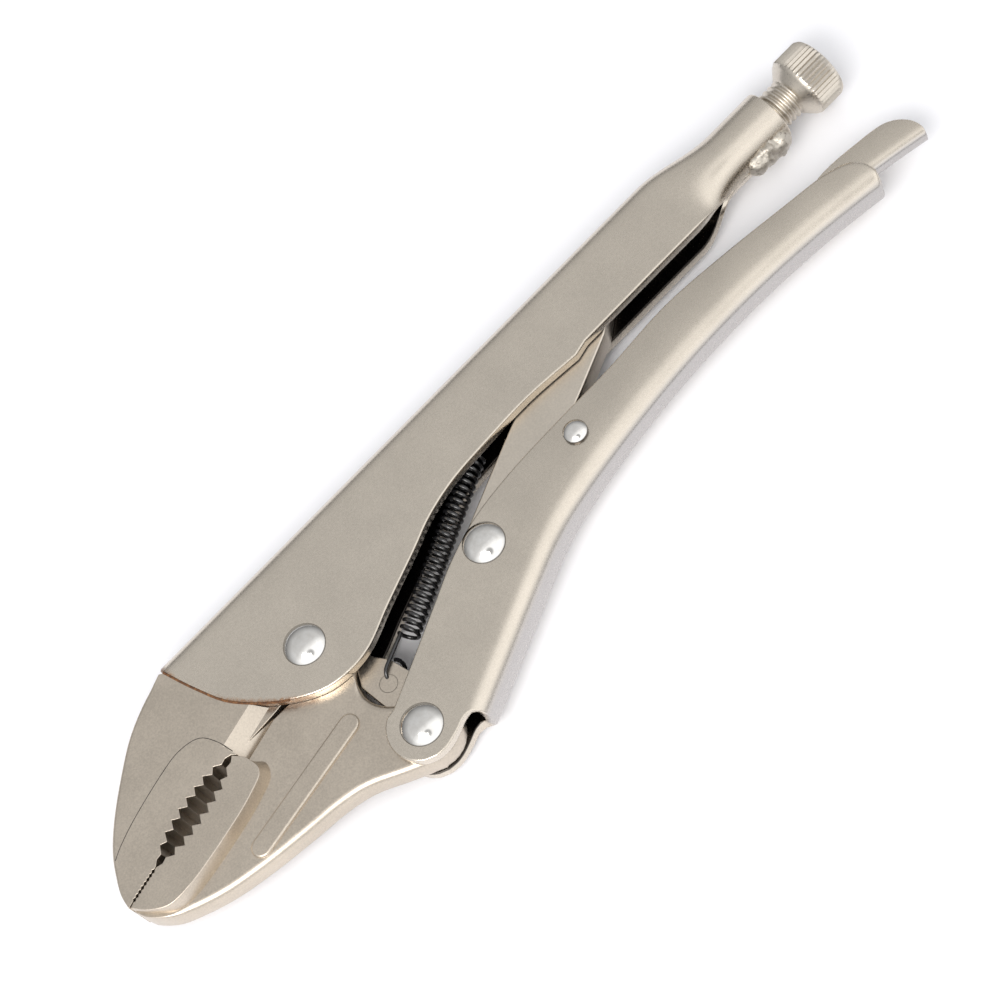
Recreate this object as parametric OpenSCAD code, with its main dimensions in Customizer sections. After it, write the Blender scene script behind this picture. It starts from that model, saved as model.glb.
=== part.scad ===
// Locking pliers with curved jaws, a screw-set toggle and a release lever.
// Every outline is drawn round the jaw pivot: x runs from the jaws to the adjusting knob,
// y from the moving handle to the fixed handle's spine, z along the rivets. place() then
// puts the origin under the middle of the object, which lies flat on its rivet heads.

/* [Channels] */
// Outside width of the two pressed handles
channel_w = 12.4; // [12:0.1:13]
// Thickness of the handle sheet
sheet_t = 2.9; // [2.6:0.1:3]
// Outside radius of the bend between the side plates and the spine
bend_r = 5; // [4:0.25:5.5]
// Height of the fixed handle's spine over the jaw pivot
spine_y = 23.6; // [23:0.1:24.2]

/* [Rivets] */
// Radius of the three large rivet heads
head_r = 5; // [4.6:0.1:5.2]
// Height of the three large rivet heads
head_h = 2.1; // [1.8:0.1:2.2]
// Radius of the large rivet shanks
shank_r = 3.1; // [2.8:0.1:3.2]
// Radius of the release lever's rivet head
small_head_r = 2.85; // [2.6:0.05:3]
// Height of the release lever's rivet head
small_head_h = 1.2; // [1:0.1:1.4]
// Radius of the release lever's rivet shank
small_shank_r = 1.75; // [1.5:0.05:1.8]
// Radial clearance of a pivot on its rivet
fit = 0.08; // [0.05:0.01:0.1]

/* [Linkage] */
// Moving jaw to moving handle pivot
handle_pivot = [5.2, -34];
// Moving handle to toggle link pivot
toggle_pivot = [43.1, -14];
// Release lever pivot
lever_pivot = [74.9, -10.8];
// Axis of the adjusting screw over the jaw pivot
screw_y = 13.6; // [13.2:0.1:14]
// Width of the toggle link
link_w = 12.6; // [11.5:0.1:13]
// Centre of the toggle link's round tip
link_tip = [105, 13.4];
// Radius of the toggle link's tip
link_tip_r = 3.6; // [3:0.1:4]
// Open gap between the link's tip and the screw's tip
tip_gap = 2.3; // [2.1:0.1:3]

/* [Adjusting screw] */
// Outside radius of the thread
thread_r = 4.9; // [4.8:0.05:5]
// Thread pitch
thread_pitch = 1.5; // [1.5:0.25:1.75]
// Radius of the knob
knob_r = 8; // [7.6:0.1:8.3]
// Length of the knurled part of the knob
knurl_len = 7.4; // [6.5:0.1:8]
// Teeth of the knurl
knurl_count = 44; // [36:2:52]

/* [Spring] */
// Outside radius of the coil
coil_r = 2.9; // [2.7:0.05:3]
// Radius of the spring wire
wire_r = 0.6; // [0.5:0.05:0.65]
// Turns of the coil
coil_turns = 27; // [24:1:28]

/* [Jaws] */
// Thickness of the jaws at their tips
jaw_w = 12.2; // [11.8:0.1:12.4]
// Thickness of the moving jaw's web and of both tangs
tang_w = 6.4; // [6:0.1:6.5]
// Pitch of the coarse teeth
tooth_pitch = 2.95; // [2.8:0.05:3.2]
// Depth of the coarse teeth
tooth_depth = 1.6; // [1.2:0.1:1.8]

/* [Hidden] */
$fn = 48;
// How far pieces of one solid run into each other
overlap = 0.02;
// Longer than anything that it crosses or cuts
cut_len = 200;
// Half the width of the handles, and the gap between their side plates
half_w = channel_w / 2;
gap_w = channel_w - 2 * sheet_t;
// The pliers' ends, and the middle plane's height when they lie on their rivet heads
jaw_pivot = [0, 0];
x_tip = -66.6;
x_tail = 179.8;
rest_z = half_w + head_h;
// Where the moving jaw turns inside the fixed one
lobe_r = 10.6;
lobe_clear = 0.35;
// Tube at the rear of the fixed handle, and the neck that leads into it
collar_r = 6.85;
collar_x0 = 145;
collar_x1 = 160.8;
neck_x0 = 127;
neck_r = 12.2;
seam_w = 1;
weld_x0 = collar_x0 + 2.6;
weld_x1 = collar_x1 - 2.8;
weld_r = 2.3;
weld_drop = 0.5;
// Lug inside the fixed handle that holds the spring's rear hook
lug = [64.2, 9.6];
lug_w = 2.4;
lug_half_l = 2.2;
// Adjusting screw
screw_tip_x = link_tip[0] + link_tip_r + tip_gap;
screw_tip_r = 3.2;
screw_chamfer = 1.8;
thread_depth = 0.45;
knob_x0 = 169.6;
knob_neck = 2.6;
knob_chamfer = 1;
knob_end_chamfer = 0.6;
knurl_cut = 0.8;
knurl_depth = 0.28;
// Spring hole in the moving jaw, and the milled flats round it
spring_hole = [6.7, -19.1];
spring_hole_r = 1.8;
tab_c = [9.7, -17.8];
tab_r = 8.6;
tab_w = 2;
hook_front = [7.4, -18.7];
hook_rear = [63.3, 9.2];
coil_start = 10.8;
coil_pitch = 2 * wire_r + 0.45;
coil_mid_r = coil_r - wire_r;
// Wire cutter: the heel of its edge, the edge's lean and its length
anvil_heel = [-26.6, -8.1];
anvil_lean = 14.4;
anvil_len = 16;
// The moving handle's spine: a straight run that meets a long bend at an angle
run_start = [-6, -53.1];
run_lean = 24.2;
run_len = 69.1;
run_lap = 1.5;
long_lean = 14.1;
long_r = 255;
long_turn = 28;
spine_front = 16.6;
y_low = run_start[1] + (spine_front - run_start[0]) * tan(run_lean);
ear_r = 8.3;
// Legs of the three channels before their outlines are cut
channel_leg = 60;
handle_leg = 34;
lever_leg = 30;
// Release lever
lever_w = gap_w - 0.6;
lever_t = 1.4;
lever_r = 2.4;
lever_gap = 2;
lever_turn = 28;
steel = [0.75, 0.73, 0.69];
satin = [0.70, 0.69, 0.68];
polished = [0.86, 0.86, 0.87];
black_oxide = [0.12, 0.12, 0.13];

// One span of a curve that passes through p1 and p2, leaning on p0 and p3.
function span_point(p0, p1, p2, p3, t) =
  0.5 * (2 * p1 + (p2 - p0) * t + (2 * p0 - 5 * p1 + 4 * p2 - p3) * t * t
         + (3 * p1 - p0 - 3 * p2 + p3) * t * t * t);
// A smooth open curve through all the points p, with n steps to a span.
function curve(p, n = 4) =
  let (last = len(p) - 1)
  [for (i = [0:last - 1], k = [0:n - 1])
     span_point(p[max(i - 1, 0)], p[i], p[i + 1], p[min(i + 2, last)], k / n),
   p[last]];
// An arc round c from angle a0 to angle a1.
function arc(c, r, a0, a1, n = 12) =
  [for (k = [0:n]) c + r * [cos(a0 + (a1 - a0) * k / n), sin(a0 + (a1 - a0) * k / n)]];

module place() {
  translate([-(x_tip + x_tail) / 2, -(y_low + spine_y) / 2, rest_z]) children();
}
// A flat plate of thickness w, centred on the pliers' middle plane.
module slab(w) {
  linear_extrude(height = w, center = true) children();
}
// A round hole through everything at the point at.
module bore(at, r) {
  translate([at[0], at[1], 0]) cylinder(r = r, h = 2 * half_w + 6, center = true);
}
// Section of a pressed channel: its spine faces +y at y = 0, its legs reach down to -leg.
module channel_section(w, t, r, leg) {
  difference() {
    rounded_top(w, r, leg);
    translate([0, -t]) rounded_top(w - 2 * t, max(r - t, 0.6), leg);
  }
}
// A square-cut strip w wide whose two top corners are rounded by r.
module rounded_top(w, r, leg) {
  translate([-w / 2, -leg]) square([w, leg - r]);
  translate([-w / 2 + r, -r - overlap]) square([w - 2 * r, r + overlap]);
  for (s = [-1, 1]) translate([s * (w / 2 - r), -r]) circle(r = r);
}
// The channel section carried along +x.
module straight_channel(len, w, t, r, leg) {
  rotate([0, 90, 0]) linear_extrude(height = len) channel_section(w, t, r, leg);
}
// ---- fixed handle ----
function upper_lower_edge() = concat(
  curve([[-26.2, 20.5], [-23.6, 11.5], [-20, 2.8], [-12.5, -5.6], [-4.5, -11],
         [3, -12.5], [10, -11.6], [19, -7.8], [31.4, -3], [39.5, 0.3], [49, 2.5],
         [60, 3.3], [73.8, 3.7], [88.2, 2.7]], 4),
  [[92, 3.5], [137.2, 3.4], [collar_x0 + 2, 7.6]]);
module upper_outline() {
  polygon(concat(upper_lower_edge(),
                 [[collar_x0 + 2, spine_y - 4], [142, spine_y - 2.2], [128, spine_y],
                  [-25.6, spine_y], [-26.8, spine_y - 2]]));
}
// Everything ahead of the neck, and a cone from there to the collar.
module neck_envelope() {
  translate([0, screw_y, 0]) rotate([0, 90, 0]) rotate_extrude()
    polygon([[0, -50], [60, -50], [60, neck_x0], [neck_r, neck_x0],
             [collar_r, collar_x0 + 2], [0, collar_x0 + 2]]);
}
// The lug hangs from the spine between the side plates.
module spring_lug() {
  difference() {
    translate([lug[0] - lug_half_l, lug[1] - lug_half_l, -lug_w / 2])
      cube([2 * lug_half_l, spine_y - sheet_t / 2 - lug[1] + lug_half_l, lug_w]);
    bore(hook_rear, 2 * wire_r);
  }
}
module upper_handle() {
  color(steel) place() difference() {
    union() {
      intersection() {
        slab(channel_w + 1) upper_outline();
        translate([-40, spine_y, 0])
          straight_channel(cut_len, channel_w, sheet_t, bend_r, channel_leg);
        neck_envelope();
      }
      spring_lug();
      translate([collar_x0 - 2, screw_y, 0]) rotate([0, 90, 0])
        cylinder(r1 = collar_r - 0.6, r2 = collar_r, h = 2);
      translate([collar_x0, screw_y, 0]) rotate([0, 90, 0])
        cylinder(r = collar_r, h = collar_x1 - collar_x0);
    }
    translate([link_tip[0] + link_tip_r, screw_y, 0]) rotate([0, 90, 0])
      cylinder(r = thread_r + fit, h = 60);
    bore(jaw_pivot, shank_r);
    translate([collar_x0 + 2, 0, -seam_w / 2]) cube([20, screw_y, seam_w]);
  }
}
module collar_weld() {
  half_l = (weld_x1 - weld_x0) / 2;
  color(satin) place() difference() {
    translate([(weld_x0 + weld_x1) / 2, screw_y - collar_r - weld_drop, 0]) rotate([0, 90, 0])
      rotate_extrude() polygon(concat(
        [[0, -half_l - weld_r]],
        arc([0, -half_l], weld_r, -81, -9, 8),
        arc([0, half_l], weld_r, 4, 76, 8),
        [[0, half_l + weld_r]]));
    translate([neck_x0, screw_y, 0]) rotate([0, 90, 0]) cylinder(r = collar_r, h = cut_len);
  }
}

// ---- jaws ----
// The line along which the jaws meet at the tips, and the opening behind it.
bite_front = [-56.4, -12.2];
bite_back = [-28.2, -6.2];
bite_chord = norm(bite_back - bite_front);
bite_turn = atan2(bite_back[1] - bite_front[1], bite_back[0] - bite_front[0]);
// Height of the bite's edge over its chord at the fraction u, for a rise at the middle.
function bite_edge(u, rise, side) =
  let (n = round(bite_chord / tooth_pitch) * 2,
       k = round(u * n),
       tooth = (k % 2 == 0) ? 0 : side * tooth_depth * min(1, 6 * u * (1 - u)))
  rise * 4 * u * (1 - u) + tooth;
function bite_line(rise, side) =
  let (n = round(bite_chord / tooth_pitch) * 2)
  [for (k = [0:n])
     let (u = k / n, h = bite_edge(u, rise, side))
     bite_front + bite_chord * u * [cos(bite_turn), sin(bite_turn)]
       + h * [-sin(bite_turn), cos(bite_turn)]];
nose = [x_tip, -14.6];
// Gap between the closed jaws along their bite
parting = 0.12;
module fixed_jaw_outline() {
  polygon(concat(
    [nose], bite_line(1.7, 1), [[-26.6, -7.9], [-16.2, -5.2]],
    arc(jaw_pivot, lobe_r + lobe_clear, 196, 78, 14),
    [[8, spine_y - sheet_t], [-26, spine_y - sheet_t + 0.6]],
    curve([[-27.4, 20.7], [-34.4, 18.6], [-41.8, 14.9], [-49.2, 9.4], [-55.9, 3.7],
           [-60.9, -1.6], [-64, -6.4], [-66, -11.2]], 3)));
}
// The region ahead of the side plates' front edge, where the jaw is full width.
module in_front_of_plates() {
  difference() {
    translate([-80, -40]) square([100, 80]);
    polygon(concat([[-26.2, 40], [-26.2, 20.5]], upper_lower_edge(), [[147, 40]]));
  }
}
module fixed_jaw() {
  color(satin) place() difference() {
    union() {
      slab(jaw_w) intersection() {
        fixed_jaw_outline();
        translate([-0.15, -0.1]) in_front_of_plates();
      }
      slab(gap_w) intersection() {
        fixed_jaw_outline();
        translate([-80, -40]) square([100, 40 + spine_y - bend_r]);
      }
    }
    for (s = [-1, 1]) anvil_bevel(s, 5.2);
    bore(jaw_pivot, lobe_r + lobe_clear);
  }
}
// The sloping cut on face s that thins the wire cutter's edge.
module anvil_bevel(s, width) {
  translate([anvil_heel[0], anvil_heel[1], 0]) rotate([0, 0, anvil_lean]) rotate([90, 0, 90])
    linear_extrude(height = anvil_len)
      polygon([[-0.1, s * 1.6], [width, s * (half_w + 1)], [-0.1, s * (half_w + 1)]]);
}
function lower_jaw_top() = concat(
  [nose - [0, parting]],
  [for (p = bite_line(-1.5, -1)) p - [0, parting]],
  [[-26.4, -8.7], [-16.4, -6.1]]);
module lower_jaw_outline() {
  polygon(concat(
    lower_jaw_top(), arc(jaw_pivot, lobe_r, 216, -42, 20),
    curve([[10.9, -15.2], [11.6, -21], [13.2, -29]], 3),
    arc(handle_pivot, 8, 10, -110, 10),
    curve([[-4.6, -38], [-12.4, -33.9], [-19.7, -32.1], [-27.8, -31.2], [-39.4, -29.6],
           [-50.3, -27.2], [-59.8, -23.2], [-64.8, -18.6]], 3)));
}
// The full-width part of the moving jaw behind its teeth.
module lower_pad() {
  polygon(concat(
    lower_jaw_top(),
    curve([[-25.8, -12.4], [-28, -15.6], [-35.4, -18.2], [-47.2, -20.7], [-53.5, -22.6],
           [-59.8, -23.2], [-64.8, -18.6]], 3)));
}
// A bar from p to q with round ends.
module obround(p, q, r) {
  run = q - p;
  for (end = [p, q]) translate(end) circle(r = r);
  translate(p) rotate(atan2(run[1], run[0])) translate([0, -r]) square([norm(run), 2 * r]);
}
module lower_jaw() {
  color(satin) place() difference() {
    union() {
      slab(tang_w) lower_jaw_outline();
      slab(jaw_w - 0.3) difference() {
        lower_pad();
        translate([-27.2, -14]) rotate(anvil_lean) square([20, 20]);
      }
      slab(tang_w + 0.7) intersection() {
        lower_jaw_outline();
        obround([-5.6, -20.4], [-37.2, -26.4], 2.7);
      }
    }
    bore(jaw_pivot, shank_r + fit);
    bore(handle_pivot, shank_r + fit);
    bore(spring_hole, spring_hole_r);
    for (s = [0, 1]) mirror([0, 0, s])
      translate([tab_c[0], tab_c[1], tab_w / 2]) cylinder(r = tab_r, h = half_w);
  }
}

// ---- moving handle ----
// Unit vectors along the heading a, and to the right of it.
function heading(a) = [cos(a), sin(a)];
function beside(a) = [sin(a), -cos(a)];
run_end = run_start + run_len * heading(run_lean);
long_c = run_end + long_r * beside(long_lean);
// A bend of the channel, legs away from its centre, that turns clockwise from run_end.
module long_bend(rad, turn, w, t, r, leg) {
  lap = 0.3;
  translate([long_c[0], long_c[1], 0]) rotate([0, 0, long_lean + 90 - turn])
    rotate_extrude(angle = turn + lap, $fn = 240)
      translate([rad, 0]) rotate([0, 0, 90]) channel_section(w, t, r, leg);
}
module lower_spine(w, t, r, leg) {
  translate([run_start[0], run_start[1], 0]) rotate([0, 0, run_lean])
    mirror([0, 1, 0]) straight_channel(run_len + run_lap, w, t, r, leg);
  long_bend(long_r, long_turn, w, t, r, leg);
}
module lower_handle_outline() {
  polygon(concat(
    arc(handle_pivot, ear_r, 236, 118, 12),
    curve([[2.1, -27.1], [11.7, -22.7], [26.7, -15.4], [35.1, -11.3], [45.9, -7.7],
           [59.4, -5.7], [75.7, -4.9], [91.2, -4.6], [109.6, -3.6], [126.6, -5.2],
           [144.8, -7.8], [155.5, -10.2], [161.4, -12.8], [163.9, -16], [163.9, -19.2]], 3),
    [[162.2, -26], [60, -40], [spine_front, -50], [spine_front, y_low], [15.8, -41.2]],
    curve([[14.6, -40.2], [12.4, -39.9], [9.2, -41], [5.6, -41.9], [3, -41.9]], 3)));
}
module lower_handle() {
  color(steel) place() difference() {
    intersection() {
      slab(channel_w + 1) lower_handle_outline();
      lower_spine(channel_w, sheet_t, bend_r, handle_leg);
    }
    bore(handle_pivot, shank_r);
    bore(toggle_pivot, shank_r);
    bore(lever_pivot, small_shank_r);
  }
}

// ---- toggle link ----
module toggle_link() {
  run = link_tip - toggle_pivot;
  lean = atan2(run[1], run[0]);
  color(satin) place() difference() {
    slab(gap_w - 0.4) translate(toggle_pivot) rotate(lean)
      polygon(concat(
        arc([0, 0], link_w / 2, 90, 270, 14),
        [[norm(run) - 12, -link_w / 2]],
        arc([norm(run), 0], link_tip_r, -60, 60, 8),
        [[norm(run) - 12, link_w / 2]]));
    bore(toggle_pivot, shank_r + fit);
  }
}

// ---- release lever ----
module lever_spine() {
  long_bend(long_r + sheet_t + lever_gap, lever_turn, lever_w, lever_t, lever_r, lever_leg);
}
module lever_outline() {
  polygon(concat(
    arc(lever_pivot, 3.3, 250, 90, 8),
    curve([[80.4, -7], [92, -6.6], [120, -8.6], [145, -8.8], [157.6, -7.4],
           [167.4, -8.2], [174.4, -9.4], [177.6, -11.6], [x_tail, -15.4]], 3),
    [[x_tail, -20.4], [170, -26], [76, -22]]));
}
module release_lever() {
  color(steel) place() difference() {
    intersection() {
      slab(lever_w + 1) lever_outline();
      lever_spine();
    }
    bore(lever_pivot, small_shank_r + fit);
  }
}

// ---- adjusting screw ----
module adjusting_screw() {
  color(steel) place() translate([0, screw_y, 0]) rotate([0, 90, 0]) {
    translate([0, 0, screw_tip_x])
      cylinder(r1 = screw_tip_r, r2 = thread_r - thread_depth, h = screw_chamfer);
    translate([0, 0, screw_tip_x + screw_chamfer])
      cylinder(r = thread_r - thread_depth, h = knob_x0 - screw_tip_x);
    thread_ridges();
    translate([0, 0, knob_x0 - knob_neck]) cylinder(r1 = thread_r, r2 = knob_r - 1, h = knob_neck);
    knob_body();
  }
}
module thread_ridges() {
  first = screw_tip_x + screw_chamfer;
  root = thread_r - thread_depth;
  for (k = [0:floor((knob_x0 - knob_neck - first) / thread_pitch) - 1])
    translate([0, 0, first + k * thread_pitch]) rotate_extrude()
      polygon([[root / 2, 0], [root, 0], [thread_r, thread_pitch * 0.4],
               [thread_r, thread_pitch * 0.6], [root, thread_pitch], [root / 2, thread_pitch]]);
}
module knob_body() {
  translate([0, 0, knob_x0]) difference() {
    union() {
      cylinder(r1 = knob_r - knob_chamfer, r2 = knob_r, h = knob_chamfer);
      translate([0, 0, knob_chamfer]) cylinder(r = knob_r, h = knurl_len - knob_chamfer);
      translate([0, 0, knurl_len])
        cylinder(r1 = knob_r, r2 = knob_r - knob_end_chamfer, h = knob_end_chamfer);
    }
    for (k = [0:knurl_count - 1]) rotate([0, 0, k * 360 / knurl_count])
      translate([knob_r - knurl_depth, 0, -1]) rotate([0, 0, -45])
        cube([knurl_cut, knurl_cut, knurl_len + 3]);
  }
}

// ---- tension spring ----
// The close-wound coil is one ridged sleeve, a ridge to each turn of the wire.
module coil_sleeve() {
  rotate_extrude() polygon(concat(
    [[coil_r - 2 * wire_r, 0]],
    [for (k = [0:coil_turns - 1]) each
       arc([coil_mid_r, (k + 0.5) * coil_pitch], wire_r, -60, 60, 6)],
    [[coil_r - 2 * wire_r, coil_turns * coil_pitch]]));
}
// A hook is a straight leg beside the axis and half a ring round the origin.
module hook(leg) {
  rotate([90, 0, 0]) {
    rotate_extrude(angle = -180) translate([coil_mid_r, 0]) circle(r = wire_r, $fn = 24);
    for (s = [-1, 1]) rotate([-90, 0, 0])
      translate([s * coil_mid_r, 0, 0]) cylinder(r = wire_r, h = leg, $fn = 24);
  }
}
module tension_spring() {
  run = hook_rear - hook_front;
  far = norm(run);
  coil_len = coil_turns * coil_pitch;
  color(black_oxide) place()
    translate([hook_front[0], hook_front[1], 0]) rotate([0, 0, atan2(run[1], run[0])])
      rotate([0, 90, 0]) {
        translate([0, 0, coil_start]) coil_sleeve();
        translate([0, 0, coil_mid_r]) hook(coil_start - coil_mid_r + wire_r);
        translate([0, 0, far - coil_mid_r]) mirror([0, 0, 1])
          hook(far - coil_start - coil_len - coil_mid_r + wire_r);
      }
}

// ---- rivets ----
// A domed head: the cap of a ball, h high and r across its flat side.
module dome(r, h) {
  ball = (r * r + h * h) / (2 * h);
  intersection() {
    translate([0, 0, h - ball]) sphere(r = ball, $fn = 96);
    cylinder(r = r + 1, h = h + 1);
  }
}
module rivet(at, shank, head, height) {
  color(polished) place() translate([at[0], at[1], 0]) {
    cylinder(r = shank, h = channel_w, center = true);
    for (s = [0, 1]) mirror([0, 0, s]) translate([0, 0, half_w]) dome(head, height);
  }
}
module jaw_pivot_rivet() { rivet(jaw_pivot, shank_r, head_r, head_h); }
module handle_pivot_rivet() { rivet(handle_pivot, shank_r, head_r, head_h); }
module toggle_rivet() { rivet(toggle_pivot, shank_r, head_r, head_h); }
module lever_rivet() { rivet(lever_pivot, small_shank_r, small_head_r, small_head_h); }

upper_handle();
fixed_jaw();
collar_weld();
lower_jaw();
lower_handle();
toggle_link();
release_lever();
adjusting_screw();
tension_spring();
jaw_pivot_rivet();
handle_pivot_rivet();
toggle_rivet();
lever_rivet();
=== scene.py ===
import math

import bmesh
import bpy
import numpy as np
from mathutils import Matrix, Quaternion, Vector, noise
from mathutils.geometry import delaunay_2d_cdt


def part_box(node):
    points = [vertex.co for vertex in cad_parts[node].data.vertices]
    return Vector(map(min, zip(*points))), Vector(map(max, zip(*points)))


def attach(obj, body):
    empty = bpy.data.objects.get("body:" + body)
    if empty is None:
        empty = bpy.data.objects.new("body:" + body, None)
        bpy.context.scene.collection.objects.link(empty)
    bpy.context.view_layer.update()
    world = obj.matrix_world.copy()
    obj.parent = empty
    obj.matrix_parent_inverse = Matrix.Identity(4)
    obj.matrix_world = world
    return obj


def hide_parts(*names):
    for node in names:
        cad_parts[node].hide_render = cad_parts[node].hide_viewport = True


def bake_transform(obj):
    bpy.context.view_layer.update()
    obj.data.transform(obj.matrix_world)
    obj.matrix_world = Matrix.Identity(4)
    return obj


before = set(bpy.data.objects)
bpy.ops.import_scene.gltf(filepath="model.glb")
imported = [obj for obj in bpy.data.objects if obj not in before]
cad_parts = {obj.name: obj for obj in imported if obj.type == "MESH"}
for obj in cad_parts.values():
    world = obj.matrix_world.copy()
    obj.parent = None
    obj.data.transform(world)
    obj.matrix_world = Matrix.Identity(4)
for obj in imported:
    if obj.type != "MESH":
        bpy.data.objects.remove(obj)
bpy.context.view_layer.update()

# Lengths are millimetres round the jaw pivot: x to the knob, y to the fixed handle's
# spine, z along the rivets. place() turns them into metres in the part's frame.
MM = 0.001
rivet_low, rivet_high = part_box("jaw_pivot_rivet")
PIVOT = (rivet_low + rivet_high) / 2

CHANNEL_W = 12.4        # across a handle's channel
HALF_W = CHANNEL_W / 2
SHEET_T = 2.9
BEND_R = 5.0            # outside the channel's bends
SPINE_Y = 23.6          # the fixed handle's spine
JAW_PIVOT = (0.0, 0.0)
HANDLE_PIVOT = (5.2, -34.0)
TOGGLE_PIVOT = (43.1, -14.0)
LEVER_PIVOT = (74.9, -10.8)
HEAD_R, HEAD_H = 5.0, 2.1
SMALL_HEAD_R, SMALL_HEAD_H = 2.85, 1.2

NECK_X0, NECK_X1 = 127.0, 147.0     # where the channel turns into the collar
COLLAR_X1 = 160.8
COLLAR_R, COLLAR_WALL = 6.85, 1.85
COLLAR_GAP = 0.8                    # the open seam under the collar
SCREW_Y = 13.6
THREAD_R, THREAD_PITCH, THREAD_DEPTH = 4.9, 1.5, 0.62
SCREW_TIP_X, TIP_TAPER = 110.9, 1.8
KNOB_X0, KNOB_X1, KNOB_R = 169.6, 177.6, 8.0
KNOB_NECK = 2.6                     # the flare between the thread and the knob
KNURLS, KNURL_DEPTH = 44, 0.42


def place(x, y, z):
    """The point in metres, in the part's frame."""
    return PIVOT + Vector((x, y, z)) * MM


# ---- outlines ----
def spline(points, steps=5):
    """A smooth open curve through all the points."""
    p = [np.array(q, float) for q in points]
    p = [p[0], *p, p[-1]]
    out = []
    for i in range(1, len(p) - 2):
        a, b, c, d = p[i - 1 : i + 3]
        for k in range(steps):
            t = k / steps
            out.append(
                0.5 * (2 * b + (c - a) * t + (2 * a - 5 * b + 4 * c - d) * t**2
                       + (3 * b - a - 3 * c + d) * t**3)
            )
    out.append(p[-2])
    return [tuple(q) for q in out]


def arc(centre, r, a0, a1, steps=12):
    """Points on an arc from a0 to a1 degrees."""
    angles = [math.radians(a0 + (a1 - a0) * k / steps) for k in range(steps + 1)]
    return [(centre[0] + r * math.cos(a), centre[1] + r * math.sin(a)) for a in angles]


def between(a, b, n):
    """n points from a to b at even steps, a itself left out."""
    return [tuple(p + (q - p) * k / n for p, q in zip(a, b)) for k in range(1, n + 1)]


def swung(points, origin, angle):
    """The points turned by angle, in radians, about (0, 0), and moved to origin."""
    c, s = math.cos(angle), math.sin(angle)
    return [(origin[0] + x * c - y * s, origin[1] + x * s + y * c) for x, y in points]


def smoothstep(t):
    t = min(1.0, max(0.0, t))
    return t * t * (3 - 2 * t)


def fine(loop, step):
    """The closed loop with points added so that no two are further apart than step."""
    out = []
    for i, p in enumerate(loop):
        q = loop[(i + 1) % len(loop)]
        gap = math.dist(p, q)
        if gap < 1e-4:
            continue
        n = max(1, math.ceil(gap / step))
        out += [(p[0] + (q[0] - p[0]) * k / n, p[1] + (q[1] - p[1]) * k / n) for k in range(n)]
    return out


def turned(loop, ccw=True):
    """The loop, reversed if it doesn't run the way that ccw says."""
    area = sum(p[0] * q[1] - q[0] * p[1] for p, q in zip(loop, loop[1:] + loop[:1]))
    return loop if (area > 0) == ccw else loop[::-1]


def outward(loop):
    """For each point, the direction away from the region, up to 1.4 long at a sharp corner."""
    p = np.array(loop)
    edge = np.roll(p, -1, 0) - p
    n = np.stack([edge[:, 1], -edge[:, 0]], 1)
    n /= np.linalg.norm(n, axis=1)[:, None]
    m = n + np.roll(n, 1, 0)
    m /= np.maximum(np.linalg.norm(m, axis=1)[:, None], 1e-6)
    return m / np.maximum((m * n).sum(1)[:, None], 0.7)


def inside(points, loop):
    """Which of the points lie inside the loop."""
    q = np.array(points)
    a = np.array(loop)
    b = np.roll(a, -1, 0)
    odd = np.zeros(len(q), bool)
    for (x0, y0), (x1, y1) in zip(a, b):
        if y0 == y1:
            continue
        cross = (y0 > q[:, 1]) != (y1 > q[:, 1])
        odd ^= cross & (q[:, 0] < (x1 - x0) * (q[:, 1] - y0) / (y1 - y0) + x0)
    return odd


# ---- sheets and slabs with rounded edges ----
def round_rim(b, t, wall=(), steps=4):
    """An edge rounded by b on a piece t thick, as (inset, depth) pairs from front to back.

    The wall's pairs come between the round and the middle of the thickness.
    """
    turn = [math.radians(90 * k / steps) for k in range(steps + 1)]
    top = [(b + 0.1, 0.0)] + [(b * (1 - math.sin(a)), b * (1 - math.cos(a))) for a in turn]
    top += wall
    return top + [(i, t - d) for i, d in reversed(top)]


def as_field(value):
    """The value as a function of two places, where it isn't one already."""
    return value if callable(value) else (lambda u, v: value)


CDT_INSIDE_WITH_HOLES = 2
RIM_CLEARANCE = 0.45            # no added point is nearer to the region's edge


def fill(loops, points):
    """The points and triangles that fill the region inside loops[0] and outside the others.

    Each point comes with its place in the loops, or None for a point that is new.
    """
    flat, edges = [], []
    for loop in loops:
        n, m = len(flat), len(loop)
        flat += [tuple(p) for p in loop]
        edges += [(n + k, n + (k + 1) % m) for k in range(m)]
    if len(points):
        rim = np.array(flat)
        keep = inside(points, loops[0])
        for hole in loops[1:]:
            keep &= ~inside(points, hole)
        near = np.array([np.min(np.hypot(*(rim - q).T)) for q in points])
        points = [tuple(q) for q in np.array(points)[keep & (near > RIM_CLEARANCE)]]
    verts = [Vector(p) for p in flat + list(points)]
    out, _, faces, source, _, _ = delaunay_2d_cdt(verts, edges, [], CDT_INSIDE_WITH_HOLES, 1e-5)
    place_in_loops = [min(q) if q and min(q) < len(flat) else None for q in source]
    return [tuple(v) for v in out], place_in_loops, faces


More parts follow.
